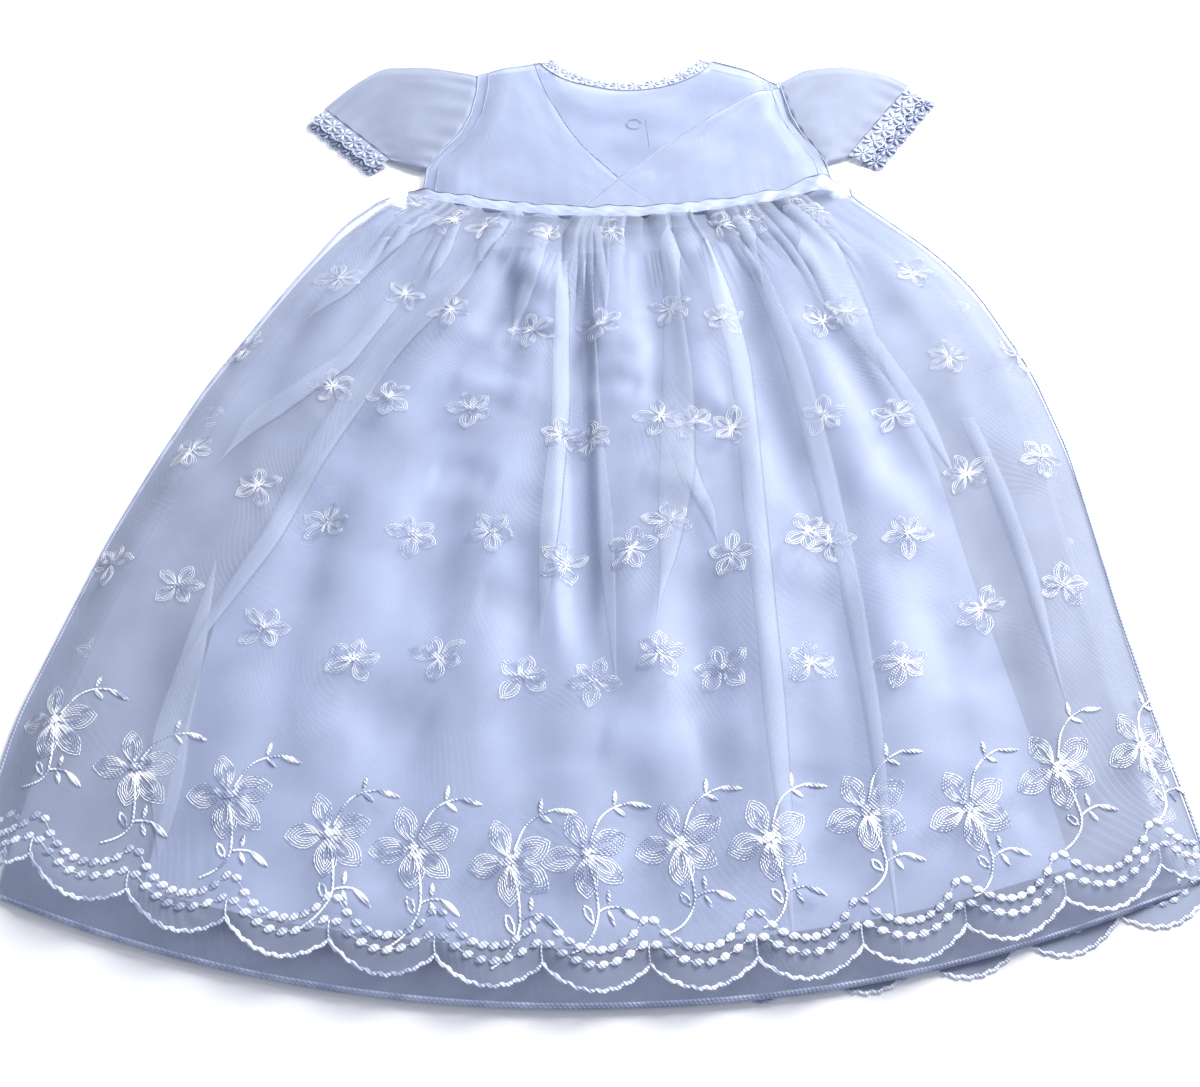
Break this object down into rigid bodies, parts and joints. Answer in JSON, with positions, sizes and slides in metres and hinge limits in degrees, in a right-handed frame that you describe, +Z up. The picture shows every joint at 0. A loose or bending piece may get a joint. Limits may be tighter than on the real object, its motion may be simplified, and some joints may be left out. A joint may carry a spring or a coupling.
{
  "type": "christening gown",
  "caption": "Baby's christening gown laid flat: sheer crossed bodice, short lace-edged puff sleeves, waist ribbon and long scalloped skirt over a petticoat and satin underskirt.",
  "frame": {"origin": "middle of the waist seam, on the surface that the gown lies on", "axes": "+Z up from the surface, +Y towards the neck, +X to the right of the gown as it is seen from above"},
  "size_m": [0.4932, 0.6057, 0.0164],
  "materials": {
    "organza": "sheer crisp organza",
    "embroidered_organza": "sheer organza with thread embroidery",
    "satin": "glossy satin",
    "lace": "corded flower lace",
    "ribbon": "satin ribbon",
    "button": "moulded nylon"
  },
  "bodies": {
    "root": {"bodice_front": "organza", "bodice_cross_left": "organza", "bodice_cross_right": "organza", "bodice_back_left": "organza", "bodice_back_right": "organza", "button_upper": "button", "button_lower": "button", "sleeve_left": "organza", "sleeve_right": "organza", "sleeve_lace_left_front": "lace", "sleeve_lace_left_back": "lace", "sleeve_lace_right_front": "lace", "sleeve_lace_right_back": "lace", "neck_lace_front": "lace", "neck_lace_back_left": "lace", "neck_lace_back_right": "lace", "waist_ribbon_front": "ribbon", "waist_ribbon_back": "ribbon", "overskirt_front": "embroidered_organza", "overskirt_back": "embroidered_organza", "petticoat_front": "organza", "petticoat_back": "organza", "satin_front": "satin", "satin_back": "satin"}
  },
  "joints": []
}
